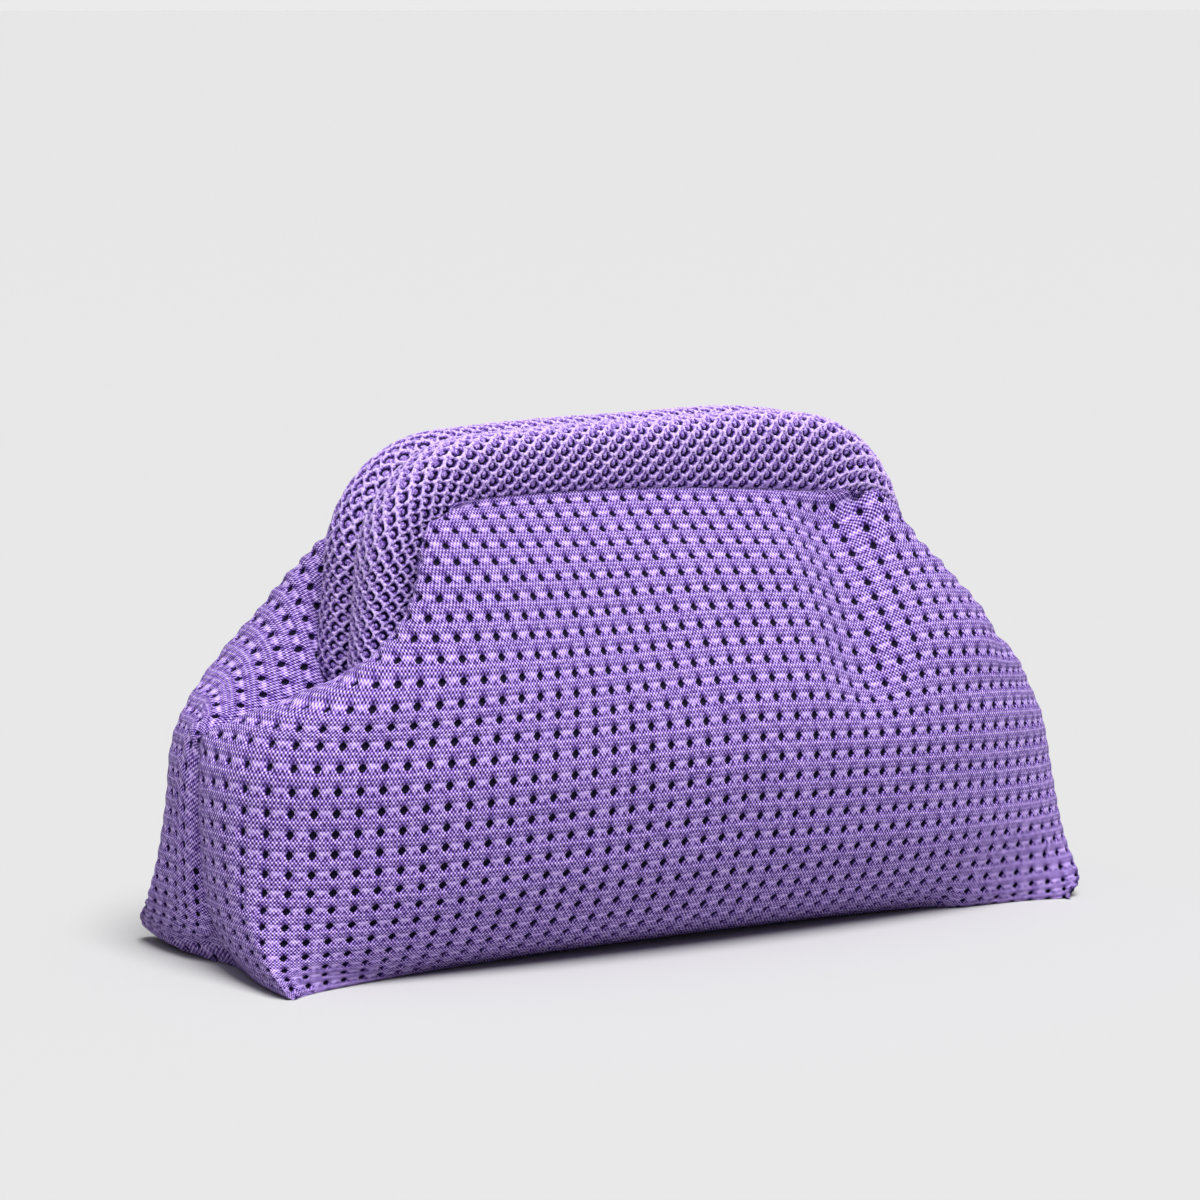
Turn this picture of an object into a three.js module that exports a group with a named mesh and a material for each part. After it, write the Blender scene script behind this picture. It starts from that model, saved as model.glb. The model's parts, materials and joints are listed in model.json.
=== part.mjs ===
// A soft knitted pouch bag, closed and standing on its base.
// Two eyelet-knit panels are sewn together at the ends and under the base.
// Two knitted covers hold a hinged frame along the mouth.
// Millimetres, +Z up, the front faces -Y, the origin is the middle of the base on the floor.
import * as THREE from 'three';

// Thicknesses and the space left between sewn pieces
const PANEL_WALL = 2.0;
const COVER_WALL = 2.2;
const SEAM_SPACE = 0.4;
const FRAME_SPACE = 0.6;

// How many steps each panel row has from its middle to its end ridge, and from there to its seam
const FRONT_STEPS = 14;
const TUCK_STEPS = 6;
// How sharply a row turns in at the side seam
const TUCK_POWER = 2.5;
// How finely a row is measured before it is cut into even steps
const ROW_SAMPLES = 60;

// Rows of the front panel, from the middle of the base up to the frame.
// A row crosses the middle of the bag, turns round a ridge at each end and stops at a seam.
// The seam is the side seam on the lower rows, the tuck by the hinge, then the frame cover.
// steps is how many mesh rows lie between this row and the next.
const ROW_COLUMNS = [
  'middleDepth', 'middleHeight', 'ridgeReach', 'ridgeDepth', 'ridgeHeight',
  'seamReach', 'seamDepth', 'seamHeight', 'roundness', 'steps',
];
const HALF_SPACE = SEAM_SPACE / 2;
const PANEL_ROWS = [
  [HALF_SPACE, 0, 140, HALF_SPACE, 0, 179, HALF_SPACE, 0, 1.5, 3],
  [36, 0, 183, 65, 0, 179, HALF_SPACE, 0, 1.5, 1],
  [47, 2, 187, 62, 5, 180, HALF_SPACE, 4, 1.6, 1],
  [59, 8, 188.5, 56, 10, 181, HALF_SPACE, 9, 1.9, 1],
  [69, 17, 188.5, 47, 18, 181, HALF_SPACE, 17, 2.1, 2],
  [82, 43, 188, 30, 40, 183, HALF_SPACE, 40, 2.2, 2],
  [87, 76, 187, 20, 72, 185, HALF_SPACE, 70, 2.2, 2],
  [85, 92, 183, 20, 90, 182, HALF_SPACE, 88, 2.2, 1],
  [81, 104, 174, 29, 101, 163, HALF_SPACE, 94, 2.3, 1],
  [77, 112, 162, 39, 110, 137, HALF_SPACE, 101, 2.4, 1],
  [71.5, 121, 149.5, 44, 121, 126, 17.5, 112, 2.5, 2],
  [63, 134, 136, 44.5, 134, 120, 25.3, 130, 2.5, 2],
  [52.5, 148, 123, 39.5, 148, 114, 25.5, 147, 2.5, 2],
  [34.5, 164, 108, 30, 164.5, 104, 25.7, 164, 2.5, 1],
  [21.5, 175.6, 78, 22.4, 173, 90, 25, 172, 2.0, 0],
];

// Soft folds pressed into a panel along a line in its front view, with their depth and half-width
const FOLD_COLUMNS = ['startX', 'startZ', 'endX', 'endZ', 'depth', 'halfWidth'];
const FRONT_FOLDS = [
  [98, 150, 88, 104, 7, 14],
  [-131, 124, -160, 104, 13, 17],
  [160, 110, 180, 92, 5, 18],
];
const BACK_FOLDS = [
  [-186, 2, -180, 2, 5, 16],
];
// The seam along the top of the front panel leans down to the right, and so does the cover above it
const LEAN_SLOPE = 0.035;
const LEAN_START = 105;
const LEAN_END = 165;

// The frame and its covers: an arch with rounded shoulders and slightly leaning arms
const ARCH_TOP = 202;
const TOP_CROWN = 2.5;
const COVER_HALF_HEIGHT = 14.2;
const COVER_HALF_DEPTH = 12.3;
const ARCH_CORNER_RADIUS = 35;
const ARCH_HALF_WIDTH = 114;
const ARM_END_HEIGHT = 101;
const ARM_LEAN = 6;
const HINGE_HEIGHT = 91;
// The covers narrow toward the hinge over this length of arm
const TAPER_LENGTH = 30;
const END_HALF_HEIGHT = 7;
const END_HALF_DEPTH = 5.5;
const COVER_SQUARENESS = 2.6;
const COVER_SIDES = 12;
const FRAME_SIDES = 8;
const TOP_STATIONS = 6;
const CORNER_STATIONS = 5;
const ARM_STATIONS = 4;
const HINGE_STEPS = 6;

// Looks of the two knits and of the hidden frame
const EYELET_KNIT = { color: 0x9a80c8, roughness: 0.85, metalness: 0 };
const HONEYCOMB_KNIT = { color: 0x8a70ba, roughness: 0.85, metalness: 0 };
const FRAME_METAL = { color: 0x7a7a80, roughness: 0.4, metalness: 1 };

// One row of a table as an object with named values
function namedRow(columns, values) {
  return Object.fromEntries(columns.map((name, i) => [name, values[i]]));
}

// Smooth curve through the given values that never overshoots them
function smoothColumn(places, values) {
  const count = places.length;
  const slopes = [];
  for (let i = 0; i < count - 1; i += 1) {
    slopes.push((values[i + 1] - values[i]) / (places[i + 1] - places[i]));
  }
  const tangents = [slopes[0]];
  for (let i = 1; i < count - 1; i += 1) {
    const before = slopes[i - 1];
    const after = slopes[i];
    if (before * after <= 0) {
      tangents.push(0);
    } else {
      tangents.push((2 * before * after) / (before + after));
    }
  }
  tangents.push(slopes[count - 2]);
  return (place) => {
    let i = 0;
    while (i < count - 2 && place > places[i + 1]) {
      i += 1;
    }
    const span = places[i + 1] - places[i];
    const t = (place - places[i]) / span;
    const u = 1 - t;
    const startPart = u * u * (1 + 2 * t) * values[i] + t * u * u * span * tangents[i];
    const endPart = t * t * (3 - 2 * t) * values[i + 1] - t * t * u * span * tangents[i + 1];
    return startPart + endPart;
  };
}

// Even steps along a polyline
function evenSteps(points, steps) {
  const lengths = [0];
  for (let i = 1; i < points.length; i += 1) {
    lengths.push(lengths[i - 1] + points[i].distanceTo(points[i - 1]));
  }
  const total = lengths[points.length - 1];
  const result = [];
  for (let k = 0; k <= steps; k += 1) {
    const wanted = (total * k) / steps;
    let i = 1;
    while (i < points.length - 1 && lengths[i] < wanted) {
      i += 1;
    }
    const t = (wanted - lengths[i - 1]) / (lengths[i] - lengths[i - 1]);
    result.push(points[i - 1].clone().lerp(points[i], t));
  }
  return result;
}

// Half of one panel row, from the middle of the bag to the seam on the +X side
function halfRow(row) {
  const front = [];
  for (let i = 0; i <= ROW_SAMPLES; i += 1) {
    const angle = (Math.PI / 2) * (i / ROW_SAMPLES);
    const across = Math.sin(angle) ** (2 / row.roundness);
    const along = Math.max(Math.cos(angle), 0) ** (2 / row.roundness);
    const depth = row.ridgeDepth + (row.middleDepth - row.ridgeDepth) * along;
    const height = row.middleHeight + (row.ridgeHeight - row.middleHeight) * across * across;
    front.push(new THREE.Vector3(row.ridgeReach * across, -depth, height));
  }
  const tuck = [];
  for (let i = 0; i <= ROW_SAMPLES; i += 1) {
    const t = i / ROW_SAMPLES;
    const reach = row.ridgeReach + (row.seamReach - row.ridgeReach) * t ** TUCK_POWER;
    const depth = row.ridgeDepth + (row.seamDepth - row.ridgeDepth) * t;
    const height = row.ridgeHeight + (row.seamHeight - row.ridgeHeight) * t * t;
    tuck.push(new THREE.Vector3(reach, -depth, height));
  }
  return evenSteps(front, FRONT_STEPS).concat(evenSteps(tuck, TUCK_STEPS).slice(1));
}

// How far the folds push a point of a panel into the bag
function foldPush(point, folds) {
  let push = 0;
  for (const values of folds) {
    const fold = namedRow(FOLD_COLUMNS, values);
    const lineX = fold.endX - fold.startX;
    const lineZ = fold.endZ - fold.startZ;
    const along = (point.x - fold.startX) * lineX + (point.z - fold.startZ) * lineZ;
    const t = Math.min(Math.max(along / (lineX * lineX + lineZ * lineZ), 0), 1);
    const offX = point.x - fold.startX - lineX * t;
    const offZ = point.z - fold.startZ - lineZ * t;
    const off = Math.hypot(offX, offZ) / fold.halfWidth;
    push += fold.depth * Math.exp(-off * off);
  }
  return push;
}

// How far the lean lowers a place at the given reach and height
function leanDrop(x, z) {
  const t = Math.min(Math.max((z - LEAN_START) / (LEAN_END - LEAN_START), 0), 1);
  return LEAN_SLOPE * x * t * t * (3 - 2 * t);
}

// Average outward direction at each point of a grid
function gridNormals(grid) {
  const normals = grid.map((row) => row.map(() => new THREE.Vector3()));
  for (let i = 0; i < grid.length - 1; i += 1) {
    for (let k = 0; k < grid[i].length - 1; k += 1) {
      const across = grid[i + 1][k + 1].clone().sub(grid[i][k]);
      const upward = grid[i + 1][k].clone().sub(grid[i][k + 1]);
      const face = across.cross(upward).normalize();
      for (const [di, dk] of [[0, 0], [0, 1], [1, 0], [1, 1]]) {
        normals[i + di][k + dk].add(face);
      }
    }
  }
  return normals.map((row) => row.map((normal) => normal.normalize()));
}

// Outside of the front panel as a grid of points, rows from the base line up, columns left to right
function panelGrid(folds, leaning) {
  const rows = PANEL_ROWS.map((values) => namedRow(ROW_COLUMNS, values));
  const places = [0];
  for (let i = 1; i < rows.length; i += 1) {
    const rise = rows[i].middleHeight - rows[i - 1].middleHeight;
    const run = rows[i].middleDepth - rows[i - 1].middleDepth;
    places.push(places[i - 1] + Math.hypot(rise, run));
  }
  const curves = ROW_COLUMNS.map((name) => smoothColumn(places, rows.map((row) => row[name])));
  const grid = [];
  const addRow = (place) => {
    const row = namedRow(ROW_COLUMNS, curves.map((curve) => curve(place)));
    const right = halfRow(row);
    const left = right.slice(1).reverse().map((p) => new THREE.Vector3(-p.x, p.y, p.z));
    grid.push(left.concat(right));
  };
  for (let i = 0; i < rows.length - 1; i += 1) {
    for (let k = 0; k < rows[i].steps; k += 1) {
      addRow(places[i] + ((places[i + 1] - places[i]) * k) / rows[i].steps);
    }
  }
  addRow(places[places.length - 1]);
  const normals = gridNormals(grid);
  return grid.map((points, i) => points.map((point, k) => {
    const fromSeam = Math.min(k, points.length - 1 - k, grid.length - 1 - i) / TUCK_STEPS;
    const free = Math.min(fromSeam, 1) ** 2;
    const moved = point.clone().addScaledVector(normals[i][k], -free * foldPush(point, folds));
    if (leaning) {
      moved.z -= leanDrop(point.x, point.z);
    }
    return moved;
  }));
}

// Collects triangles into one mesh
class TriangleList {
  constructor() {
    this.positions = [];
  }

  quad(a, b, c, d) {
    for (const p of [a, b, c, a, c, d]) {
      this.positions.push(p.x, p.y, p.z);
    }
  }

  mesh(name, look) {
    const geometry = new THREE.BufferGeometry();
    geometry.setAttribute('position', new THREE.Float32BufferAttribute(this.positions, 3));
    geometry.computeVertexNormals();
    const mesh = new THREE.Mesh(geometry, new THREE.MeshStandardMaterial(look));
    mesh.name = name;
    return mesh;
  }
}

// One knitted panel: the outside grid, the inside a wall thickness behind it, and the cut edges
function panelMesh(name, folds, leaning, side) {
  const outside = panelGrid(folds, leaning);
  const normals = gridNormals(outside);
  const inside = outside.map((row, i) => row.map((point, k) => {
    return point.clone().addScaledVector(normals[i][k], -PANEL_WALL);
  }));
  const lastRow = outside.length - 1;
  const lastColumn = outside[0].length - 1;
  const list = new TriangleList();
  const flip = (p) => new THREE.Vector3(p.x, p.y * side, p.z);
  const add = (a, b, c, d) => {
    if (side > 0) {
      list.quad(flip(a), flip(b), flip(c), flip(d));
    } else {
      list.quad(flip(a), flip(d), flip(c), flip(b));
    }
  };
  for (let i = 0; i < lastRow; i += 1) {
    for (let k = 0; k < lastColumn; k += 1) {
      add(outside[i][k], outside[i][k + 1], outside[i + 1][k + 1], outside[i + 1][k]);
      add(inside[i][k], inside[i + 1][k], inside[i + 1][k + 1], inside[i][k + 1]);
    }
  }
  for (let k = 0; k < lastColumn; k += 1) {
    add(outside[0][k + 1], outside[0][k], inside[0][k], inside[0][k + 1]);
    add(outside[lastRow][k], outside[lastRow][k + 1], inside[lastRow][k + 1], inside[lastRow][k]);
  }
  for (let i = 0; i < lastRow; i += 1) {
    add(outside[i][0], outside[i + 1][0], inside[i + 1][0], inside[i][0]);
    const last = lastColumn;
    add(outside[i + 1][last], outside[i][last], inside[i][last], inside[i + 1][last]);
  }
  return list.mesh(name, EYELET_KNIT);
}

// Middle line of the frame arch in the XZ plane, left hinge to right hinge, with outward directions
function archStations(leaning) {
  const topZ = ARCH_TOP - COVER_HALF_HEIGHT;
  const topEnd = ARCH_HALF_WIDTH - ARCH_CORNER_RADIUS;
  const lean = Math.atan2(ARM_LEAN, topZ - ARCH_CORNER_RADIUS - ARM_END_HEIGHT);
  const right = [];
  for (let i = 0; i < TOP_STATIONS; i += 1) {
    const x = (topEnd * i) / TOP_STATIONS;
    const z = topZ - TOP_CROWN * (x / topEnd) ** 2;
    right.push({ x, z, angle: Math.PI / 2 - Math.atan((2 * TOP_CROWN * x) / topEnd ** 2) });
  }
  const cornerStart = Math.PI / 2 - Math.atan((2 * TOP_CROWN) / topEnd);
  const centreX = topEnd - ARCH_CORNER_RADIUS * Math.cos(cornerStart);
  const centreZ = topZ - TOP_CROWN - ARCH_CORNER_RADIUS * Math.sin(cornerStart);
  for (let i = 0; i <= CORNER_STATIONS; i += 1) {
    const angle = cornerStart + ((lean - cornerStart) * i) / CORNER_STATIONS;
    const x = centreX + ARCH_CORNER_RADIUS * Math.cos(angle);
    const z = centreZ + ARCH_CORNER_RADIUS * Math.sin(angle);
    right.push({ x, z, angle });
  }
  const start = right[right.length - 1];
  for (let i = 1; i <= ARM_STATIONS; i += 1) {
    const z = start.z + ((ARM_END_HEIGHT - start.z) * i) / ARM_STATIONS;
    const x = start.x + (start.z - z) * Math.tan(lean);
    right.push({ x, z, angle: lean });
  }
  const left = right.slice(1).reverse().map((s) => ({ x: -s.x, z: s.z, angle: Math.PI - s.angle }));
  const stations = left.concat(right);
  for (const station of stations) {
    const fromEnd = Math.max(station.z - ARM_END_HEIGHT, 0) / TAPER_LENGTH;
    const t = Math.min(fromEnd, 1);
    const widen = t * t * (3 - 2 * t);
    station.halfHeight = END_HALF_HEIGHT + (COVER_HALF_HEIGHT - END_HALF_HEIGHT) * widen;
    station.halfDepth = END_HALF_DEPTH + (COVER_HALF_DEPTH - END_HALF_DEPTH) * widen;
    station.middleDepth = station.halfDepth + HALF_SPACE;
    if (leaning) {
      const grow = leanDrop(station.x, station.z) / 2;
      station.halfHeight += grow;
      station.x -= Math.cos(station.angle) * grow;
      station.z -= Math.sin(station.angle) * grow;
    }
  }
  return stations;
}

// Rounded cross-section at one station of the front arch, shrunk by the given amount
function archSection(station, shrink, sides) {
  const points = [];
  for (let k = 0; k < sides; k += 1) {
    const turn = (2 * Math.PI * (k + 0.5)) / sides;
    const c = Math.cos(turn);
    const s = Math.sin(turn);
    const out = Math.sign(c) * Math.abs(c) ** (2 / COVER_SQUARENESS) * (station.halfHeight - shrink);
    const fore = Math.sign(s) * Math.abs(s) ** (2 / COVER_SQUARENESS) * (station.halfDepth - shrink);
    const x = station.x + Math.cos(station.angle) * out;
    const z = station.z + Math.sin(station.angle) * out;
    points.push(new THREE.Vector3(x, -(station.middleDepth + fore), z));
  }
  return points;
}

// One knitted frame cover: a sleeve along the arch with open ends at the hinges
function coverMesh(name, leaning, side) {
  const stations = archStations(leaning);
  const list = new TriangleList();
  const flip = (p) => new THREE.Vector3(p.x, p.y * side, p.z);
  const add = (a, b, c, d) => {
    if (side > 0) {
      list.quad(flip(a), flip(b), flip(c), flip(d));
    } else {
      list.quad(flip(a), flip(d), flip(c), flip(b));
    }
  };
  const outside = stations.map((station) => archSection(station, 0, COVER_SIDES));
  const inside = stations.map((station) => archSection(station, COVER_WALL, COVER_SIDES));
  const last = stations.length - 1;
  for (let k = 0; k < COVER_SIDES; k += 1) {
    const n = (k + 1) % COVER_SIDES;
    for (let i = 0; i < last; i += 1) {
      add(outside[i][k], outside[i][n], outside[i + 1][n], outside[i + 1][k]);
      add(inside[i][k], inside[i + 1][k], inside[i + 1][n], inside[i][n]);
    }
    add(outside[0][n], outside[0][k], inside[0][k], inside[0][n]);
    add(outside[last][k], outside[last][n], inside[last][n], inside[last][k]);
  }
  return list.mesh(name, HONEYCOMB_KNIT);
}

// The hidden frame: one closed ring that fills both covers and passes through the two hinges
function frameMesh(name) {
  const shrink = COVER_WALL + FRAME_SPACE;
  const front = archStations(true).map((station) => archSection(station, shrink, FRAME_SIDES));
  const plain = archStations(false).reverse().map((station) => archSection(station, shrink, FRAME_SIDES));
  const back = plain.map((ring) => ring.map((p) => new THREE.Vector3(p.x, -p.y, p.z)));
  const end = archStations(false).pop();
  const hingeRing = (sideX, sweep) => {
    const points = [];
    const across = end.middleDepth * Math.cos(sweep);
    const down = (end.z - HINGE_HEIGHT) * Math.sin(sweep);
    for (let k = 0; k < FRAME_SIDES; k += 1) {
      const turn = (2 * Math.PI * (k + 0.5)) / FRAME_SIDES;
      const c = Math.cos(turn);
      const s = Math.sin(turn);
      const out = Math.sign(c) * Math.abs(c) ** (2 / COVER_SQUARENESS) * (end.halfHeight - shrink);
      const fore = Math.sign(s) * Math.abs(s) ** (2 / COVER_SQUARENESS) * (end.halfDepth - shrink);
      const y = -across - fore * Math.cos(sweep);
      const z = end.z - down - fore * Math.sin(sweep);
      points.push(new THREE.Vector3(sideX * (end.x + out), y, z));
    }
    return points;
  };
  const rightHinge = [];
  const leftHinge = [];
  for (let i = 1; i < HINGE_STEPS; i += 1) {
    const sweep = (Math.PI * i) / HINGE_STEPS;
    rightHinge.push(hingeRing(1, sweep));
    leftHinge.unshift(hingeRing(-1, sweep));
  }
  const rings = front.concat(rightHinge, back, leftHinge);
  const list = new TriangleList();
  for (let i = 0; i < rings.length; i += 1) {
    const ring = rings[i];
    const next = rings[(i + 1) % rings.length];
    for (let k = 0; k < FRAME_SIDES; k += 1) {
      const n = (k + 1) % FRAME_SIDES;
      list.quad(ring[k], ring[n], next[n], next[k]);
    }
  }
  return list.mesh(name, FRAME_METAL);
}

const group = new THREE.Group();
group.name = 'pouch_bag';
group.add(panelMesh('panel_front', FRONT_FOLDS, true, 1));
group.add(panelMesh('panel_back', BACK_FOLDS, false, -1));
group.add(coverMesh('frame_cover_front', true, 1));
group.add(coverMesh('frame_cover_back', false, -1));
group.add(frameMesh('hinge_frame'));

export default group;
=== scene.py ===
# Looks of a soft knitted pouch bag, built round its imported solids.
# Shapes are worked out in millimetres and turned into metres when a mesh is made.
import json
import math

import bpy
import numpy as np
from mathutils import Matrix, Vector

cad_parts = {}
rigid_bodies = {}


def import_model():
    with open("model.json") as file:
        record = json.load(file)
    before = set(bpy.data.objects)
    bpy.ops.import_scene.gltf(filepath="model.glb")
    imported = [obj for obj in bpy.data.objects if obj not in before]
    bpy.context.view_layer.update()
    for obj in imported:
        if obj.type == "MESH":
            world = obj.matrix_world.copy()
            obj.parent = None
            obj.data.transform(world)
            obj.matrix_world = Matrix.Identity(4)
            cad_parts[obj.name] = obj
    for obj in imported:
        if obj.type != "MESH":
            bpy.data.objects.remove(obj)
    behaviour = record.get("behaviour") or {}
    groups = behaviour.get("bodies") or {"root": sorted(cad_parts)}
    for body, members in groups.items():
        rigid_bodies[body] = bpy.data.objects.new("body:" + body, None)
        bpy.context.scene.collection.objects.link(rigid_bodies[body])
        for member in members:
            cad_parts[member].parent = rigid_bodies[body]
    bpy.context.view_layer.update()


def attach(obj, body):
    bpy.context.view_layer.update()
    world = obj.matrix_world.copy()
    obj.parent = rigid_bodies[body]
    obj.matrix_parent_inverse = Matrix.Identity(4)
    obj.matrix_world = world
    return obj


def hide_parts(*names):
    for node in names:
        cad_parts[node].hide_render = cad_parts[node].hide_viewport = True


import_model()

MM = 0.001

# Rows of the two panels from the middle of the base up to the frame, close to those of the solids.
# A row crosses the middle of the bag, turns round a ridge at each end and stops at a seam.
# Beside the arms of the frame the back panel tucks in lower than the front one.
HALF_SPACE = 0.05
ROW_COLUMNS = (
    "middle_depth", "middle_height", "ridge_reach", "ridge_depth", "ridge_height",
    "seam_reach", "seam_depth", "seam_height", "roundness", "tuck_bend",
)
LOWER_ROWS = (
    [HALF_SPACE, 0, 140, HALF_SPACE, 0, 179, HALF_SPACE, 0, 1.5, 2.5],
    [36, 0, 183, 65, 0, 179, HALF_SPACE, 0, 1.5, 2.5],
    [47, 2, 187, 62, 5, 180, HALF_SPACE, 4, 1.6, 2.5],
    [59, 8, 188.5, 56, 10, 181, HALF_SPACE, 9, 1.9, 2.5],
    [69, 17, 188.5, 47, 18, 181, HALF_SPACE, 17, 2.1, 2.5],
    [82, 43, 188, 30, 40, 183, HALF_SPACE, 40, 2.2, 2.5],
    [87, 76, 187, 20, 72, 185, HALF_SPACE, 70, 2.2, 2.5],
)
FRONT_ROWS = np.array([
    *LOWER_ROWS,
    [85, 92, 184, 20, 90, 184, HALF_SPACE, 90, 2.2, 2.5],
    [81, 104, 175, 29, 100, 170, HALF_SPACE, 90, 2.3, 1.5],
    [77, 112, 162, 39, 110, 142, HALF_SPACE, 88, 2.4, 1.2],
    [71.5, 121, 149.5, 44, 121, 116, 17.5, 108, 2.5, 1.2],
    [63, 134, 136, 44.5, 134, 109, 25.3, 130, 2.5, 1.2],
    [52.5, 148, 123, 39.5, 148, 105, 25.5, 147, 2.5, 1.2],
    [34.5, 164, 108, 30, 164.5, 98, 25.7, 164, 2.5, 1.2],
    [21.5, 175.6, 78, 22.4, 173, 90, 25, 172, 2.0, 1.2],
])
BACK_ROWS = np.array([
    *LOWER_ROWS,
    [85, 92, 184, 20, 90, 184, HALF_SPACE, 86, 2.2, 2.5],
    [81, 104, 175, 29, 100, 178, HALF_SPACE, 90, 2.3, 2.5],
    [77, 112, 162, 39, 110, 168, HALF_SPACE, 90, 2.4, 2.5],
    [71.5, 121, 149.5, 44, 121, 155, HALF_SPACE, 88, 2.5, 2.5],
    [63, 134, 136, 44.5, 134, 133, HALF_SPACE, 89, 2.5, 2.5],
    [52.5, 148, 123, 39.5, 148, 116, 17, 105, 2.5, 2.5],
    [34.5, 164, 108, 30, 164.5, 105, 25.5, 142, 2.5, 2.5],
    [21.5, 175.6, 78, 22.4, 173, 90, 25, 172, 2.0, 2.5],
])

# Soft folds: a panel moves by the push along a line in its front view, and less to each side of it.
# The edge share says how far the panel's own edges move along.
FOLD_COLUMNS = (
    "start_x", "start_z", "end_x", "end_z", "half_width", "push_x", "push_y", "push_z", "edge_share",
)
FRONT_FOLDS = (
    (82, 165, 70, 112, 18, -1.5, 6, -6.5, 0),
    (103, 167, 104, 167, 11, 1, -2, 8, 1),
    (132, 134, 150, 116, 10, -1.3, 0.5, -1, 0),
    (160, 110, 180, 92, 18, -4.4, 2, -2.8, 0),
    (186, 80, 188, 40, 18, 2, 0, 0, 0),
    (190, 0, 186, 0, 6.5, -7, 2, 2.5, 0),
    (130, 4, 180, 4, 8, 0, -2, -3, 0),
)
BACK_FOLDS = (
    (-188, 0, -180, 0, 16, 5, -2, 4, 0),
    (-172, 100, -140, 130, 16, 1.5, 0, -1.5, 0),
)
FOLD_FADE = 16
# The front panel is drawn in towards the middle beside its left arm
PULL = 14
PULL_HEIGHT = 125
PULL_HALF_HEIGHT = 32
PULL_START = 10
PULL_FULL = 130
# The seam along the top of the front panel leans down to the right, and so does the cover above it
LEAN_SLOPE = 0.035
LEAN_START = 105
LEAN_END = 165

# The seam up the left end lies this far behind the middle of the bag
END_SHIFT = 11
END_START = 110
END_FULL = 175
END_FRONT = 55
END_FADE = 35
END_BACK = 25
# The foot of that end is drawn up between its two corners, and the base turns in below it
FOOT_LIFT = 4.5
FOOT_DRAW = 5
FOOT_REACH = 34
FOOT_HEIGHT = 30
FOOT_EDGE = 3
FOOT_TURN = 8

# The side seam is pulled into a groove
SEAM_SINK = 2.5
SEAM_HALF_WIDTH = 4.5
SEAM_FOOT = 6

# How finely the panel is measured
ROW_SAMPLES = 120
MIDDLE_SAMPLES = 1500
UP_STEP = 0.5
HALF_COLUMNS = 480
# A length and an area of a face that count as none
TINY = 1e-9
LEAST_AREA = 1e-3

# Eyelet knit: the lattice of eyelets, the place of its first row and column, and how its rows droop
PITCH_ALONG = 8.4
PITCH_UP = 7.8
FIRST_ROW = 1.6
FIRST_COLUMN = 0.3
FRONT_DROOP = 0.05
BACK_END_DROOP = 0.5
BACK_END_START = 215
# Each eyelet cell is a grid of this many steps. Its middle is left to the eyelet's ring, point for point
CELL_STEPS = 5
EYELET_RING = 4 * (CELL_STEPS - 2)
EYELET_RING_START = -3 * math.pi / 4
EYELET_REACH = 2.3
EYELET_HALF_WIDTH = 1.5
EYELET_HALF_HEIGHT = 1.8
EYELET_LEAN = 0.15
EYELET_TAPER = -0.08
EYELET_EDGE_SINK = 0.35
EYELET_WALL = 1.0
EYELET_WALL_DRAW = 0.93
# Where the cloth is gathered, an eyelet takes its stretch to be no less than this
LEAST_STRETCH = 0.5
# No eyelet is cut this near a seam
SEAM_MARGIN = 4.0
# The bands between the rows of eyelets puff out, most near the frame
PUFF_TOP = 1.0
PUFF_BASE = 0.4
PUFF_RISE = 120
# The rolled edge along every seam
EDGE_STEP = 2.0
EDGE_SINKS = (0, 1, 2)
# The knit lies flat on the floor
LOWEST = 0.1

# The frame covers: an arch with rounded shoulders and slightly leaning arms
ARCH_TOP = 202
TOP_CROWN = 2.5
COVER_HALF_HEIGHT = 15.3
COVER_HALF_DEPTH = 12.3
ARCH_CORNER_RADIUS = 36
ARCH_HALF_WIDTH = 112
ARM_END_HEIGHT = 86
ARM_LEAN = 6
TAPER_LENGTH = 26
TOP_RISE = 2.2
RISE_MIDDLE = 58
RISE_HALF_WIDTH = 32
RISE_START = 170
END_HALF_HEIGHT = 7
END_HALF_DEPTH = 5.5
COVER_SQUARENESS = 2.6
COVER_SPACE = 0.05
END_CLOSING = 6
# How finely the arch and its section are measured, and the steps that give the slope of its surface
ARCH_SAMPLES = 60
SECTION_SAMPLES = 1441
NUDGE = 0.05
NUDGE_SHARE = 0.0025

# Honeycomb knit: the pitch of its cells along the arch, and how many rows of cells go round
CELL_PITCH = 7.3
ROUND_ROWS = 28
# Mesh lines across one cell, close together where the edge of its pit lies
CELL_LINES = (-0.5, -0.37, -0.27, -0.15, 0.0, 0.15, 0.27, 0.37)
PIT_HALF_WIDTH = 1.9
PIT_HALF_HEIGHT = 2.35
PIT_SWELL = 1.6
PIT_POINT_POWER = 0.75
PIT_ROUND_POWER = 3
PIT_DROP = 0.2
PIT_EDGE = 0.9
NET_HEIGHT = 1.8
NET_ROUND = 0.5
BUMP_HEIGHT = 1.55
BUMP_HALF_WIDTH = 1.3
BUMP_HALF_HEIGHT = 1.9
BUMP_RISE = 0.35
BUMP_LEFT = 0.3
# Painted highlight: the bump is painted lighter as it rises, by this share, in full at this share of its
# height
BUMP_LIGHT = 0.75
BUMP_LIGHT_RISE = 0.6
CELL_FLOOR = -1.6
# A plain strip runs beside the panel, at this share of the way round the section
STRIP_SHARE = 0.41
STRIP_HALF_SHARE = 0.022
STRIP_HEIGHT = 1.1
# Painted shade of the plain strip, kept low so the strip stays light where the cover turns down into shade
STRIP_SHADE = 0.12

# Stitches in one cell of the eyelet lattice, how much they and their rows show, and the uneven yarn
STITCHES_ACROSS = 6
STITCHES_UP = 8
STITCH_TONE = 0.13
STITCH_SHARE = 0.48
COURSE_SHARE = 0.22
STITCH_HEIGHT = 0.5
YARN_SCALE = 640
YARN_DETAIL = 1
YARN_SHARE = 0.75
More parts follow.
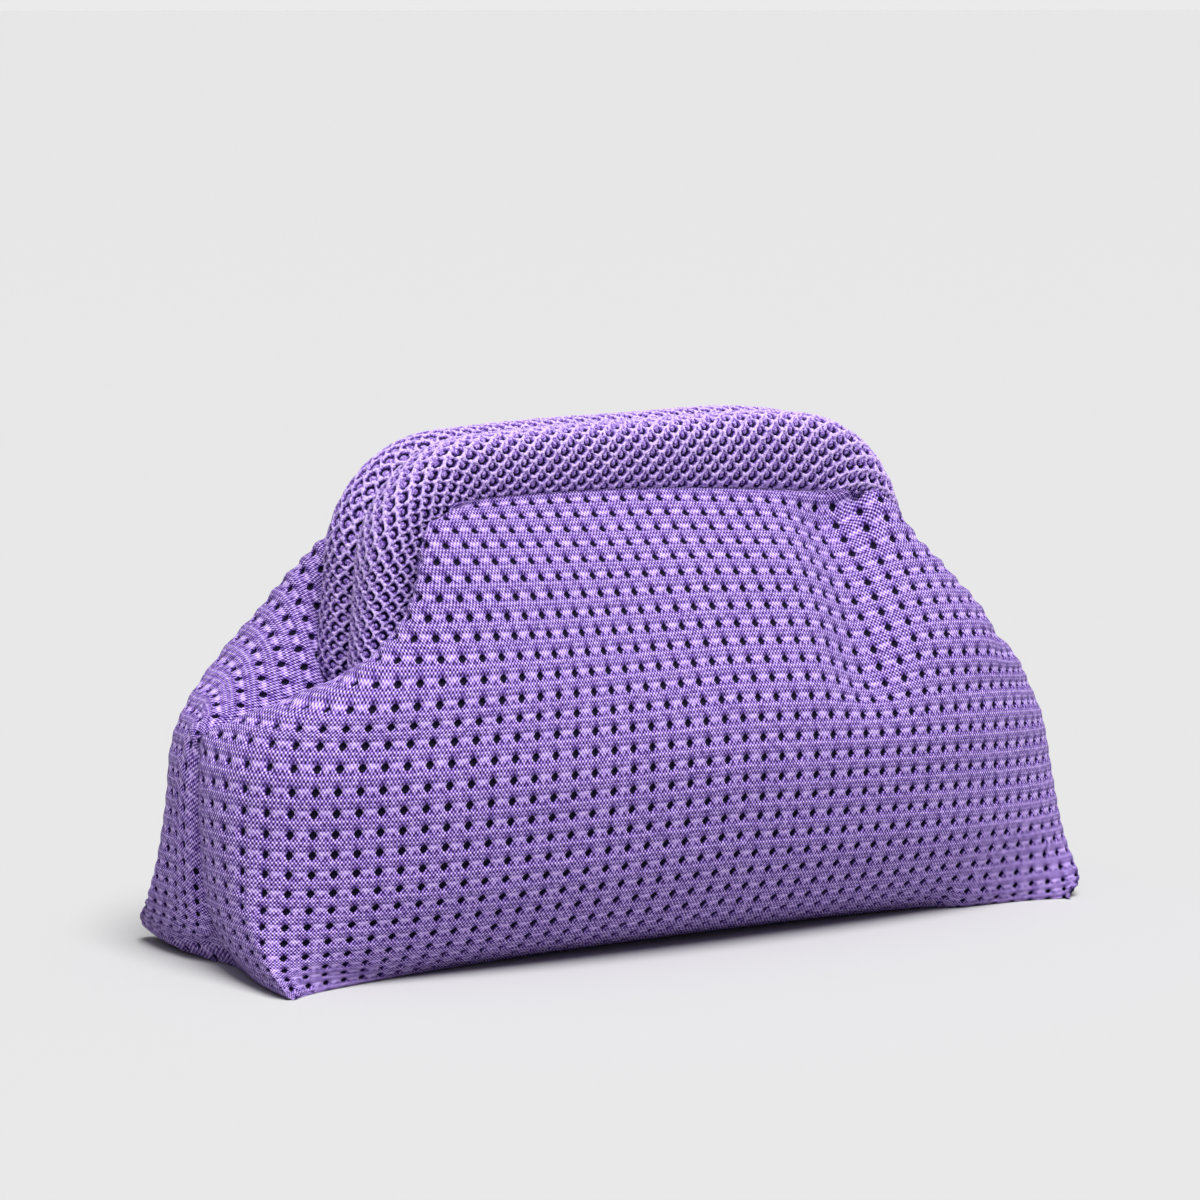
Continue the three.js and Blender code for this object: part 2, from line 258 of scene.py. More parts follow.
# Round each eyelet, in millimetres: sunk stitches above it in painted shade, a smooth rib beside it with a
# painted highlight, and two dots of painted shadow below, all also bumps
SLIT_LEAN = 0.15
SLIT_UP = 2.5
SLIT_HALF_WIDTH = 1.0
SLIT_HALF_HEIGHT = 1.1
SLIT_SHADE = 0.45
RIB_UP = 0.4
RIB_HALF_HEIGHT = 1.0
RIB_SHARE = 0.6
RIB_CLEAR = 2.2
DOT_NEAR = 2.0
DOT_FAR = -3.5
DOT_UP = -1.1
DOT_SIZE = 0.55
DOT_SHADE = 0.85
# Colours of the yarn, from a painted highlight on its raised side to painted shade between stitches and
# strands
KNIT_LIGHT = (0.84, 0.69, 1.0, 1)
KNIT_BODY = (0.33, 0.185, 0.67, 1)
KNIT_SHADE = (0.06, 0.022, 0.2, 1)
KNIT_DARK = (0.006, 0.002, 0.02, 1)
NET_LIGHT = (0.68, 0.52, 0.92, 1)
NET_BODY = (0.21, 0.11, 0.46, 1)
# The eyelet knit is painted by the height of its stitches, lighter where raised, and the honeycomb by the
# depth between its strands, in painted shade
KNIT_COLOURS = ((0.0, KNIT_DARK), (0.25, KNIT_SHADE), (0.6, KNIT_BODY), (1.0, KNIT_LIGHT))
NET_COLOURS = ((0.0, NET_LIGHT), (0.35, NET_BODY), (0.6, KNIT_SHADE), (0.78, KNIT_DARK))
KNIT_ROUGHNESS = 0.55
KNIT_SHEEN = 0.04
SHINE = 0.1
# The uneven yarn of the honeycomb
NET_SCALE = 1300
NET_SHARE = 1.2
NET_TONE = 0.03
NET_BUMP = 0.5
# Painted steel
METAL_SCALE = 400
METAL_DETAIL = 3
METAL_COLOURS = ((0.3, (0.03, 0.03, 0.035, 1)), (0.7, (0.045, 0.045, 0.05, 1)))
METAL_ROUGHNESS = 0.45
METAL_SHARE = 0.6

# Half the width of the floor in metres, and its look
FLOOR_REACH = 300
FLOOR_GREY = 0.5
FLOOR_ROUGHNESS = 0.9
# Greys of the room by height, from the floor line to overhead, and the key light
ROOM_GREYS = ((0.0, 0.83), (0.025, 0.83), (0.06, 0.1), (0.5, 0.15), (1.0, 0.6))
KEY_FROM = (-0.06, -0.45, 1)
KEY_STRENGTH = 4.5
KEY_SPREAD = 35

# Camera: the way that it looks, the point that it looks at, its lens and how far it sees in metres
VIEW_AZIMUTH = 31.97
VIEW_ELEVATION = 7.46
VIEW_DISTANCE = 1800
VIEW_AIM = (-9.68, 0, 129.55)
VIEW_LENS = 136.16
SENSOR_WIDTH = 36
VIEW_END = 1000


def smooth_step(t):
    t = np.clip(t, 0, 1)
    return t * t * (3 - 2 * t)


def smooth_column(places, values):
    """Smooth curve through the values that never overshoots them."""
    slopes = np.diff(values) / np.diff(places)
    before = slopes[:-1]
    after = slopes[1:]
    same_way = before * after > 0
    inner = np.where(same_way, 2 * before * after / np.where(same_way, before + after, 1), 0)
    tangents = np.concatenate([slopes[:1], inner, slopes[-1:]])

    def curve(place):
        i = np.clip(np.searchsorted(places, place) - 1, 0, len(places) - 2)
        span = places[i + 1] - places[i]
        t = (place - places[i]) / span
        u = 1 - t
        start = u * u * (1 + 2 * t) * values[i] + t * u * u * span * tangents[i]
        end = t * t * (3 - 2 * t) * values[i + 1] - t * t * u * span * tangents[i + 1]
        return start + end

    return curve


def half_row(row):
    """One panel row from the middle of the bag to the seam on the +X side."""
    angle = np.linspace(0, math.pi / 2, ROW_SAMPLES + 1)
    across = np.sin(angle) ** (2 / row["roundness"])
    along = np.clip(np.cos(angle), 0, 1) ** (2 / row["roundness"])
    front = np.stack([
        row["ridge_reach"] * across,
        -row["ridge_depth"] - (row["middle_depth"] - row["ridge_depth"]) * along,
        row["middle_height"] + (row["ridge_height"] - row["middle_height"]) * across**2,
    ], axis=1)
    t = np.linspace(0, 1, ROW_SAMPLES + 1)[1:]
    tuck = np.stack([
        row["ridge_reach"] + (row["seam_reach"] - row["ridge_reach"]) * t ** row["tuck_bend"],
        -row["ridge_depth"] - (row["seam_depth"] - row["ridge_depth"]) * t,
        row["ridge_height"] + (row["seam_height"] - row["ridge_height"]) * t * t,
    ], axis=1)
    return np.concatenate([front, tuck])


def path_lengths(points):
    steps = np.linalg.norm(np.diff(points, axis=0), axis=1)
    return np.concatenate([[0], np.cumsum(steps)])


def grid_normals(grid):
    """Unit normals of a grid of points whose rows rise and whose columns run to the right."""
    up = np.gradient(grid, axis=0)
    along = np.gradient(grid, axis=1)
    normals = np.cross(along, up)
    return normals / np.maximum(np.linalg.norm(normals, axis=-1, keepdims=True), TINY)


def fold_push(points, folds, inside):
    """How the folds move each point of a panel. Inside is 1 away from its edges and 0 along them."""
    push = np.zeros(points.shape)
    for values in folds:
        fold = dict(zip(FOLD_COLUMNS, values))
        start = np.array([fold["start_x"], fold["start_z"]])
        line = np.array([fold["end_x"], fold["end_z"]]) - start
        offset = points[..., [0, 2]] - start
        t = np.clip(offset @ line / (line @ line), 0, 1)
        away = np.linalg.norm(offset - t[..., None] * line, axis=-1) / fold["half_width"]
        share = np.exp(-away * away) * np.maximum(inside, fold["edge_share"])
        push += share[..., None] * [fold["push_x"], fold["push_y"], fold["push_z"]]
    return push


def lean_drop(x, z):
    """How far the top of the front leans down at a place."""
    return LEAN_SLOPE * x * smooth_step((z - LEAN_START) / (LEAN_END - LEAN_START))


def arm_pull(grid, tuck):
    """How far the front panel is drawn in beside its left arm. Tuck rises from 0 at its edge to 1."""
    near = np.exp(-(((grid[..., 2] - PULL_HEIGHT) / PULL_HALF_HEIGHT) ** 2))
    return PULL * near * tuck * smooth_step((-grid[..., 0] - PULL_START) / (PULL_FULL - PULL_START))


def seam_groove(grid, from_seam):
    """How far the knit along the side seams is pulled in."""
    at_side = np.abs(grid[:, -1, 1]) < 2 * HALF_SPACE
    raised = smooth_step(grid[:, -1, 2] / SEAM_FOOT)
    groove = SEAM_SINK * np.exp(-(from_seam / SEAM_HALF_WIDTH) ** 2)
    groove *= (at_side * raised)[:, None]
    return grid_normals(grid) * [1, 0, 1] * groove[..., None]


def end_shift(grid, from_seam, side):
    """How the left end moves: its foot up and in, and its seam behind the middle of the bag."""
    height = grid[..., 2]
    depth = grid[..., 1] * side
    to_left = smooth_step((-grid[..., 0] - END_START) / (END_FULL - END_START))
    foot = np.exp(-((from_seam / FOOT_REACH) ** 2)) * to_left
    lifted = smooth_step(height / FOOT_EDGE) * (1 - smooth_step(height / FOOT_HEIGHT))
    above_foot = to_left * smooth_step(height / FOOT_HEIGHT)
    between = smooth_step((depth + END_FRONT) / END_FADE) * np.clip(1 - depth / END_BACK, 0, 1)
    return np.stack([
        FOOT_DRAW * foot * (1 - smooth_step(height / FOOT_TURN)),
        END_SHIFT * above_foot * between * side,
        FOOT_LIFT * foot * lifted,
    ], axis=-1)


class PanelCloth:
    """The outside of a panel over cloth coordinates in millimetres, as if it were the front one.

    up is the way along the middle of the panel from the base line, and along is the way along a row
    from the middle, positive to the right. side is 1 for the front panel and -1 for the back one.
    """

    def __init__(self, rows, folds, leaning, side):
        self.side = side
        places = path_lengths(rows[:, :2])
        curves = [smooth_column(places, rows[:, k]) for k in range(len(ROW_COLUMNS))]
        fine = np.linspace(0, places[-1], MIDDLE_SAMPLES)
        middle = np.stack([curves[0](fine), curves[1](fine)], axis=1)
        lengths = path_lengths(middle)
        self.height = lengths[-1]
        self.ups = np.linspace(0, self.height, round(self.height / UP_STEP) + 1)
        row_places = np.interp(self.ups, lengths, fine)
        shares = np.linspace(0, 1, HALF_COLUMNS + 1)
        halves = []
        ends = []
        ridges = []
        for place in row_places:
            points = half_row({name: curve(place) for name, curve in zip(ROW_COLUMNS, curves)})
            way = path_lengths(points)
            halves.append([np.interp(shares * way[-1], way, points[:, k]) for k in range(3)])
            ends.append(way[-1])
            ridges.append(way[ROW_SAMPLES])
        right = np.array(halves).transpose(0, 2, 1)
        left = right[:, :0:-1] * np.array([-1, 1, 1])
        grid = np.concatenate([left, right], axis=1)
        self.row_ends = np.array(ends)
        self.grid = self.shaped(grid, np.array(ridges), folds, leaning)
        self.normals = grid_normals(self.grid)

    def shaped(self, grid, ridges, folds, leaning):
        """The plain rows with their folds, the groove of the side seam, the turned left end and the lean."""
        shares = np.abs(np.linspace(-1, 1, grid.shape[1]))
        from_seam = (1 - shares) * self.row_ends[:, None]
        tuck = np.clip(from_seam / (self.row_ends - ridges)[:, None], 0, 1)
        from_top = smooth_step((self.height - self.ups) / FOLD_FADE)[:, None]
        moved = grid + fold_push(grid, folds, tuck**2 * from_top)
        if leaning:
            moved[..., 0] += arm_pull(grid, tuck)
        moved -= seam_groove(grid, from_seam)
        moved += end_shift(grid, from_seam, self.side)
        if leaning:
            moved[..., 2] -= lean_drop(grid[..., 0], grid[..., 2])
        return moved

    def row_end(self, up):
        return np.interp(up, self.ups, self.row_ends)

    def held(self, along, up):
        """The nearest cloth coordinates that lie on the panel."""
        up = np.clip(up, 0, self.height)
        end = self.row_end(up)
        return np.clip(along, -end, end), up

    def sample(self, along, up):
        """Points and normals at cloth coordinates."""
        along, up = self.held(along, up)
        rows, columns = self.grid.shape[:2]
        row = up / self.height * (rows - 1)
        column = (along / self.row_end(up) + 1) / 2 * (columns - 1)
        i = np.clip(row.astype(int), 0, rows - 2)
        k = np.clip(column.astype(int), 0, columns - 2)
        up_share = (row - i)[..., None]
        along_share = (column - k)[..., None]
        found = []
        for field in (self.grid, self.normals):
            low = field[i, k] * (1 - along_share) + field[i, k + 1] * along_share
            high = field[i + 1, k] * (1 - along_share) + field[i + 1, k + 1] * along_share
            found.append(low * (1 - up_share) + high * up_share)
        return found


def make_piece(name, points, faces, cloth_map, depth, material):
    """A smooth mesh piece from arrays.

    The cloth map gives each point its place in the knit, and depth is painted shade, 1 where the knit sinks
    furthest into eyelets, edges and pits.
    """
    faces = np.asarray(faces)
    mesh = bpy.data.meshes.new(name)
    mesh.vertices.add(len(points))
    mesh.vertices.foreach_set("co", (np.asarray(points) * MM).astype(np.float32).ravel())
    sides = faces.shape[1]
    mesh.loops.add(faces.size)
    mesh.loops.foreach_set("vertex_index", faces.astype(np.int32).ravel())
    mesh.polygons.add(len(faces))
    mesh.polygons.foreach_set("loop_start", np.arange(0, faces.size, sides, dtype=np.int32))
    mesh.polygons.foreach_set("use_smooth", np.ones(len(faces), dtype=bool))
    layer = mesh.uv_layers.new(name="cloth")
    layer.data.foreach_set("uv", np.asarray(cloth_map)[faces.ravel()].astype(np.float32).ravel())
    attribute = mesh.attributes.new("depth", "FLOAT", "POINT")
    attribute.data.foreach_set("value", np.asarray(depth).astype(np.float32))
    mesh.update(calc_edges=True)
    mesh.validate()
    mesh.materials.append(material)
    piece = bpy.data.objects.new(name, mesh)
    bpy.context.scene.collection.objects.link(piece)
    return piece


def drop_flat(points, faces):
    """The faces that have an area, and only the points that they use."""
    a, b, c, d = (points[faces[:, k]] for k in range(4))
    area = np.linalg.norm(np.cross(c - a, d - b), axis=1)
    faces = faces[area > LEAST_AREA]
    used, faces = np.unique(faces, return_inverse=True)
    return used, faces.reshape(-1, 4)


def puff_at(up, rows):
    """How far the knit puffs out between its rows of eyelets."""
    share = smooth_step((up - PUFF_RISE) / PUFF_RISE)
    height = PUFF_BASE + (PUFF_TOP - PUFF_BASE) * share
    return -0.5 * height * np.cos(2 * math.pi * rows)


def eyelet_outline():
    """The rim of one eyelet from its lower left corner, as offsets in millimetres along the row and up."""
    angle = EYELET_RING_START + 2 * math.pi * np.arange(EYELET_RING) / EYELET_RING
    up = EYELET_HALF_HEIGHT * np.sin(angle)
    along = EYELET_HALF_WIDTH * np.cos(angle) * (1 - EYELET_TAPER * np.sin(angle))
    return along + EYELET_LEAN * up, up


class EyeletPanel:
    """One panel with its eyelets cut through, gathered as points, faces, cloth map and depth, the painted
    shade where it sinks.
    """

    def __init__(self, cloth, droop, end_droop):
        self.cloth = cloth
        self.droop = droop
        self.end_droop = end_droop
        self.points = []
        self.map = []
        self.depth = []
        self.faces = []
        self.count = 0

    def to_cloth(self, column, row):
        """Cloth coordinates of places in the lattice of eyelets."""
        along = (column + FIRST_COLUMN) * PITCH_ALONG
        up = self.cloth.height - (FIRST_ROW + row) * PITCH_UP - self.row_drop(along)
        return along, up

    def row_drop(self, along):
        """How far a row of eyelets lies below its height in the middle."""
        return self.droop * np.maximum(along, 0) + self.end_droop * np.maximum(-along - BACK_END_START, 0)

    def to_lattice(self, along, up):
        """Places in the lattice of eyelets, by cloth coordinates."""
        column = along / PITCH_ALONG - FIRST_COLUMN
        row = (self.cloth.height - up - self.row_drop(along)) / PITCH_UP - FIRST_ROW
        return column, row

    def add(self, along, up, sink):
        """Adds points at cloth coordinates and returns their numbers."""
        along, up = self.cloth.held(along, up)
        points, normals = self.cloth.sample(along, up)
        column, row = self.to_lattice(along, up)
        lift = puff_at(up, row) - sink
        self.points.append(points + normals * lift[..., None])
        self.map.append(np.stack([column, -row], axis=-1))
        # Painted shade: the knit is painted darker the further it sinks, down an eyelet's wall and round a
        # rolled edge
        self.depth.append(np.clip((sink - EYELET_EDGE_SINK) / EYELET_WALL, 0, 1))
        numbers = self.count + np.arange(along.size).reshape(along.shape)
        self.count += along.size
        return numbers

    def build(self):
        """Points, faces, cloth map and depth of the whole panel."""
        ends = self.cloth.row_ends.max() * np.array([-1, 1])
        reach = math.ceil(self.cloth.row_ends.max() / PITCH_ALONG) + 1
        lift = math.ceil(self.row_drop(ends).max() / PITCH_UP)
        first_row = -math.ceil(FIRST_ROW) - lift
        last_row = math.ceil(self.cloth.height / PITCH_UP) + 1
        steps = CELL_STEPS
        columns = np.arange(-reach * steps, (reach + 1) * steps + 1) / steps - 0.5
        rows = np.arange(first_row * steps, (last_row + 1) * steps + 1) / steps - 0.5
        along, up = self.to_cloth(*np.meshgrid(columns, rows))
        grid = self.add(along, up, np.zeros(along.shape))
        cell_rows = np.arange(last_row - first_row + 1)
        cell_columns = np.arange(2 * reach + 1)
        cell_i, cell_k = np.meshgrid(cell_rows, cell_columns, indexing="ij")
        centre_along, centre_up = self.to_cloth(cell_k - reach, cell_i + first_row)
        inside = self.clear_of_seams(centre_along, centre_up)
        self.add_grid_faces(grid, inside)
        self.add_eyelets(grid, cell_i[inside], cell_k[inside], centre_along[inside], centre_up[inside])
        self.add_edges()
        points = np.concatenate([p.reshape(-1, 3) for p in self.points])
        cloth_map = np.concatenate([m.reshape(-1, 2) for m in self.map])
        depth = np.concatenate([d.ravel() for d in self.depth])
        points[:, 2] = np.maximum(points[:, 2], LOWEST)
        used, faces = drop_flat(points, np.concatenate(self.faces))
        return points[used], faces, cloth_map[used], depth[used]

    def clear_of_seams(self, along, up):
        """Where an eyelet lies far enough from every edge of the panel to be cut."""
        clear = np.abs(along) < self.cloth.row_end(np.clip(up, 0, None)) - SEAM_MARGIN
        clear &= up > SEAM_MARGIN
        clear &= up < self.cloth.height - SEAM_MARGIN
        return clear

    def add_grid_faces(self, grid, inside):
        """Plain faces, apart from the middle of each cell that has an eyelet."""
        steps = CELL_STEPS
        quads = np.stack([grid[:-1, :-1], grid[1:, :-1], grid[1:, 1:], grid[:-1, 1:]], axis=-1)
        open_cell = np.repeat(np.repeat(inside, steps, axis=0), steps, axis=1)
        place_i = np.arange(quads.shape[0]) % steps
        place_k = np.arange(quads.shape[1]) % steps
        middle_i = (place_i > 0) & (place_i < steps - 1)
        middle_k = (place_k > 0) & (place_k < steps - 1)
        cut = open_cell & middle_i[:, None] & middle_k[None, :]
        self.faces.append(quads[~cut])

    def add_eyelets(self, grid, cell_i, cell_k, along, up):
        """The rim of each eyelet, joined to the grid round it, and the cut wall behind the rim."""
        low = 1
        high = CELL_STEPS - 1
        rising = np.arange(low, high)
        falling = rising[::-1] + 1
        at_low = np.full(high - low, low)
        at_high = np.full(high - low, high)
        ring_k = np.concatenate([rising, at_high, falling, at_low])
        ring_i = np.concatenate([at_high, falling, at_low, rising])
        border = grid[cell_i[:, None] * CELL_STEPS + ring_i, cell_k[:, None] * CELL_STEPS + ring_k]
        along = along[:, None]
        up = up[:, None]
        rim_along, rim_up = self.true_offsets(along, up)
        sink = np.full(border.shape, EYELET_EDGE_SINK)
        rim = self.add(along + rim_along, up + rim_up, sink)
        wall_along = along + rim_along * EYELET_WALL_DRAW
        wall_up = up + rim_up * EYELET_WALL_DRAW
        wall = self.add(wall_along, wall_up, sink + EYELET_WALL)
        for outer, inner in ((border, rim), (rim, wall)):
            quads = [outer, np.roll(outer, -1, axis=1), np.roll(inner, -1, axis=1), inner]
            self.faces.append(np.stack(quads, axis=-1).reshape(-1, 4))
        # The back of the knit closes each eyelet, painted darkest as shade from the inside of the bag
        for k in range(EYELET_RING // 2 - 1):
            strip = [wall[:, k], wall[:, k + 1], wall[:, -k - 2], wall[:, -k - 1]]
            self.faces.append(np.stack(strip, axis=-1))

    def true_offsets(self, along, up):
        """Cloth offsets that give each eyelet its true shape where the cloth is stretched or skewed."""
        cloth = self.cloth
        way_along = (cloth.sample(along + 1, up)[0] - cloth.sample(along - 1, up)[0]) / 2
        way_up = (cloth.sample(along, up + 1)[0] - cloth.sample(along, up - 1)[0]) / 2
        stretch = np.maximum(np.linalg.norm(way_along, axis=-1), LEAST_STRETCH)
        skew = (way_up * way_along).sum(-1) / stretch
        rise = np.sqrt(np.maximum((way_up**2).sum(-1) - skew**2, LEAST_STRETCH**2))
        rim_along, rim_up = eyelet_outline()
        offset_up = rim_up / np.maximum(rise, 1)
        offset_along = (rim_along - skew * offset_up) / np.maximum(stretch, 1)
        return np.clip(offset_along, -EYELET_REACH, EYELET_REACH), offset_up

    def add_edges(self):
        """A rolled edge that turns into the bag along every seam, in painted shade as it sinks."""
        cloth = self.cloth
        across = np.linspace(-1, 1, round(2 * cloth.row_ends.max() / EDGE_STEP))
        rise = np.linspace(0, cloth.height, round(cloth.height / EDGE_STEP))
        edges = (
            (across * cloth.row_end(0), 0 * across),
            (cloth.row_end(rise), rise),
            (-across * cloth.row_end(cloth.height), 0 * across + cloth.height),
            (-cloth.row_end(rise[::-1]), rise[::-1]),
        )
        for along, up in edges:
            rings = [self.add(along, up, np.full(along.shape, sink)) for sink in EDGE_SINKS]
            for outer, inner in zip(rings[:-1], rings[1:]):
                self.faces.append(np.stack([outer[:-1], inner[:-1], inner[1:], outer[1:]], axis=-1))


def arch_points():
    """The middle line of the +X half of the frame arch from its top, as rows of x, z and outward angle."""
    top_z = ARCH_TOP - COVER_HALF_HEIGHT
    top_end = ARCH_HALF_WIDTH - ARCH_CORNER_RADIUS
    lean = math.atan2(ARM_LEAN, top_z - ARCH_CORNER_RADIUS - ARM_END_HEIGHT)
    corner_start = math.pi / 2 - math.atan(2 * TOP_CROWN / top_end)
    centre_x = top_end - ARCH_CORNER_RADIUS * math.cos(corner_start)
    centre_z = top_z - TOP_CROWN - ARCH_CORNER_RADIUS * math.sin(corner_start)
    x = np.linspace(0, top_end, ARCH_SAMPLES)
    slope = 2 * TOP_CROWN * x / top_end**2
    top = np.stack([x, top_z - TOP_CROWN * (x / top_end) ** 2, math.pi / 2 - np.arctan(slope)], axis=1)
    angle = np.linspace(corner_start, lean, ARCH_SAMPLES)[1:]
    corner = np.stack([
        centre_x + ARCH_CORNER_RADIUS * np.cos(angle), centre_z + ARCH_CORNER_RADIUS * np.sin(angle), angle,
    ], axis=1)
    arm_x, arm_z, arm_angle = corner[-1]
    z = np.linspace(arm_z, ARM_END_HEIGHT, ARCH_SAMPLES)[1:]
    arm = np.stack([arm_x + (arm_z - z) * math.tan(lean), z, np.full(z.shape, arm_angle)], axis=1)
    return np.concatenate([top, corner, arm])


def section_offsets(turn, half_height, half_depth):
    """Offsets outward and forward round the section of a cover, a square with round sides."""
    power = 2 / COVER_SQUARENESS
    outward = np.cos(turn)
    forward = np.sin(turn)
    out = np.sign(outward) * np.abs(outward) ** power * half_height
    fore = np.sign(forward) * np.abs(forward) ** power * half_depth
    return out, fore


ARCH_LINE = arch_points()
ARCH_WAYS = path_lengths(ARCH_LINE[:, :2])
ARCH_HALF_LENGTH = ARCH_WAYS[-1]
SECTION_TURNS = np.linspace(0, 2 * math.pi, SECTION_SAMPLES)
SECTION = np.stack(section_offsets(SECTION_TURNS, COVER_HALF_HEIGHT, COVER_HALF_DEPTH), axis=1)
SECTION_WAYS = path_lengths(SECTION)


def arch_line(way):
    """Places and outward angles along the middle line of the arch, by the way along it from its top."""
    x, z, angle = (np.interp(np.abs(way), ARCH_WAYS, ARCH_LINE[:, k]) for k in range(3))
    return np.sign(way) * x, z, np.where(way < 0, math.pi - angle, angle)


def cover_points(way, share, leaning):
    """Points on the plain outside of the front cover, by the way along the arch and the share round it."""
    x, z, angle = arch_line(way)
    widen = smooth_step((z - ARM_END_HEIGHT) / TAPER_LENGTH)
    half_height = END_HALF_HEIGHT + (COVER_HALF_HEIGHT - END_HALF_HEIGHT) * widen
    half_depth = END_HALF_DEPTH + (COVER_HALF_DEPTH - END_HALF_DEPTH) * widen
    middle_depth = half_depth + COVER_SPACE
    if leaning:
        grow = lean_drop(x, z) / 2
        half_height = half_height + grow
        x = x - np.cos(angle) * grow
        z = z - np.sin(angle) * grow
    # Past the end of an arm the section closes to its middle
    closing = 1 - np.clip((np.abs(way) - ARCH_HALF_LENGTH) / END_CLOSING, 0, 1)
    turn = np.interp(share % 1, SECTION_WAYS / SECTION_WAYS[-1], SECTION_TURNS)
    out, fore = section_offsets(turn, half_height * closing, half_depth * closing)
    rise = TOP_RISE * np.exp(-(((x - RISE_MIDDLE) / RISE_HALF_WIDTH) ** 2)) * (1 + out / half_height) / 2
    rise = np.where(z > RISE_START, rise, 0)
    height = z + np.sin(angle) * out + rise
    return np.stack([x + np.cos(angle) * out, -(middle_depth + fore), height], axis=-1)


def honeycomb_relief(a, b, round_pitch):
    """Height and painted shade of the knit at places in the slanted lattice.

    Its cells centre on whole numbers. Each is a pit shaped like a drop, with its point away from the panel,
    and a bump lies in the pit.
    """
    off_a = a - np.floor(a + 0.5)
    off_b = b - np.floor(b + 0.5)
    along = CELL_PITCH * (off_a + off_b) / 2
    down = round_pitch * (off_a - off_b) - PIT_DROP
    share = np.clip((down + PIT_HALF_HEIGHT) / (2 * PIT_HALF_HEIGHT), 0, 1)
    half_width = PIT_HALF_WIDTH * PIT_SWELL * share**PIT_POINT_POWER * np.sqrt(1 - share**PIT_ROUND_POWER)
    rise = (np.abs(along) - half_width) / PIT_EDGE
    net = smooth_step(rise + 0.5)
    border = 2 * np.maximum(np.abs(off_a), np.abs(off_b))
    strand = NET_HEIGHT * net * (1 - NET_ROUND * (1 - border) ** 2)
    dome = 1 - ((along + BUMP_LEFT) / BUMP_HALF_WIDTH) ** 2 - ((down + BUMP_RISE) / BUMP_HALF_HEIGHT) ** 2
    bump = BUMP_HEIGHT * np.sqrt(np.clip(dome, 0, 1))
    # Painted shade: none on the strands, most down in the pit, less towards the top of the bump
    pit_shade = 1 - np.maximum(net, BUMP_LIGHT * smooth_step(bump / BUMP_HEIGHT / BUMP_LIGHT_RISE))
    share_of_cell = (np.floor(a + 0.5) - np.floor(b + 0.5)) / ROUND_ROWS
    plain = np.abs(share_of_cell % 1 - STRIP_SHARE) < STRIP_HALF_SHARE
    return np.where(plain, STRIP_HEIGHT, np.maximum(strand, bump)), np.where(plain, STRIP_SHADE, pit_shade)


def build_cover(leaning):
    """Points, faces, cloth map and depth share, the painted shade, of one honeycomb cover.

    Its lattice lies slanted: along whole numbers a and b, a + b runs along the arch and a - b round it.
    """
    round_pitch = SECTION_WAYS[-1] / ROUND_ROWS
    reach = math.ceil((ARCH_HALF_LENGTH + END_CLOSING) / CELL_PITCH) + 1
    row, column = np.meshgrid(np.arange(ROUND_ROWS), np.arange(-2 * reach, 2 * reach + 1))
    cells = (row + column) % 2 == 0
    a = ((column + row) // 2)[cells]
    b = ((column - row) // 2)[cells]
    size = len(CELL_LINES)
    step = np.arange(size)
    key_a = (a[:, None, None] * size + step[None, :, None]) + np.zeros((1, 1, size), dtype=int)
    key_b = (b[:, None, None] * size + step[None, None, :]) + np.zeros((1, size, 1), dtype=int)
    corners_a = np.stack([key_a, key_a, key_a + 1, key_a + 1], axis=-1).reshape(-1, 4)
    corners_b = np.stack([key_b, key_b + 1, key_b + 1, key_b], axis=-1).reshape(-1, 4)
    # The last row round the section joins the first
    turns = np.floor_divide(corners_a - corners_b, ROUND_ROWS * size)
    shift = ROUND_ROWS // 2 * size
    keys = np.stack([corners_a - turns * shift, corners_b + turns * shift], axis=-1).reshape(-1, 2)
    keys, faces = np.unique(keys, axis=0, return_inverse=True)
    faces = faces.reshape(-1, 4)
    lines = np.array(CELL_LINES)
    a = keys[:, 0] // size + lines[keys[:, 0] % size]
    b = keys[:, 1] // size + lines[keys[:, 1] % size]
    way = CELL_PITCH * (a + b) / 2
    share = (a - b) / ROUND_ROWS
    points = cover_points(way, share, leaning)
    along = cover_points(way + NUDGE, share, leaning) - cover_points(way - NUDGE, share, leaning)
    ahead = cover_points(way, share + NUDGE_SHARE, leaning)
    around = ahead - cover_points(way, share - NUDGE_SHARE, leaning)
    normals = np.cross(around, along)
    normals /= np.maximum(np.linalg.norm(normals, axis=1, keepdims=True), TINY)
    relief, depth = honeycomb_relief(a, b, round_pitch)
    fade = 1 - smooth_step((np.abs(way) - ARCH_HALF_LENGTH + END_CLOSING) / END_CLOSING)
    points = points + normals * ((CELL_FLOOR + relief) * fade)[:, None]
    cloth_map = np.stack([way, (a - b) * round_pitch], axis=1)
    used, faces = drop_flat(points, faces)
    return points[used], faces, cloth_map[used], depth[used]


